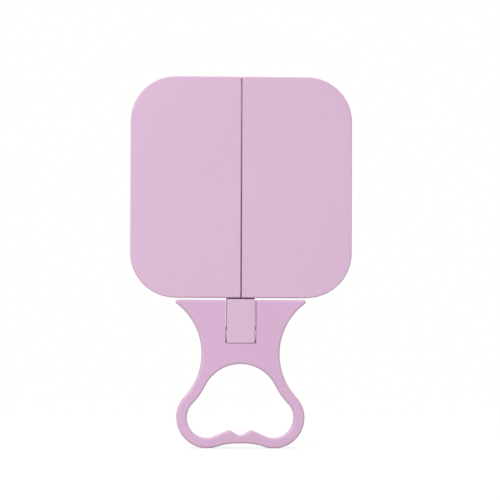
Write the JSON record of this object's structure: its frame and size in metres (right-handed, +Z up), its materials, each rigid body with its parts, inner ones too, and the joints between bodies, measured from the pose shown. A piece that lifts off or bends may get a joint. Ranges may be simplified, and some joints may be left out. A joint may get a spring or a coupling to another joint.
{
  "type": "hand mirror",
  "caption": "Folding hand mirror: half doors close over a full mirror, and a looped handle on a tab folds back as a stand.",
  "frame": {"origin": "centre of the head's flat back face", "axes": "+X towards the viewer's right when looking at the front, +Y out of the back, +Z up from the handle to the head; the front of the closed doors faces -Y"},
  "size_m": [0.165, 0.012, 0.2767],
  "materials": {
    "lilac_plastic": "satin, fine moulded grain",
    "handle_plastic": "satin, fine moulded grain",
    "mirror_glass": "silvered, ground edge",
    "foam_tape": "matte foam",
    "steel": "zinc plated",
    "nylon": "natural, satin"
  },
  "bodies": {
    "frame": {"centre_tray": "lilac_plastic", "centre_mirror": "mirror_glass", "centre_mirror_tape": "foam_tape", "hinge_pin_left_upper": "steel", "hinge_pin_left_lower": "steel", "hinge_pin_right_upper": "steel", "hinge_pin_right_lower": "steel"},
    "left_door": {"left_door_shell": "lilac_plastic", "left_door_mirror": "mirror_glass", "left_door_mirror_tape": "foam_tape"},
    "right_door": {"right_door_shell": "lilac_plastic", "right_door_mirror": "mirror_glass", "right_door_mirror_tape": "foam_tape"},
    "handle": {"handle_front_shell": "handle_plastic", "handle_rear_shell": "handle_plastic", "handle_pivot_pin": "steel", "pivot_washer_left": "nylon", "pivot_washer_right": "nylon", "handle_screw_upper_left": "steel", "handle_screw_upper_right": "steel", "handle_screw_middle_left": "steel", "handle_screw_middle_right": "steel", "handle_screw_lower_left": "steel", "handle_screw_lower_right": "steel"}
  },
  "joints": [
    {"name": "left_door_hinge", "type": "hinge", "parent": "frame", "child": "left_door", "pos_m": [-0.0805, -0.006, 0], "axis": [0, 0, -1], "range_deg": [0, 180]},
    {"name": "right_door_hinge", "type": "hinge", "parent": "frame", "child": "right_door", "pos_m": [0.0805, -0.006, 0], "axis": [0, 0, 1], "range_deg": [0, 180]},
    {"name": "handle_pivot", "type": "hinge", "parent": "frame", "child": "handle", "pos_m": [0, -0.006, -0.1102], "axis": [1, 0, 0], "range_deg": [0, 110]}
  ]
}
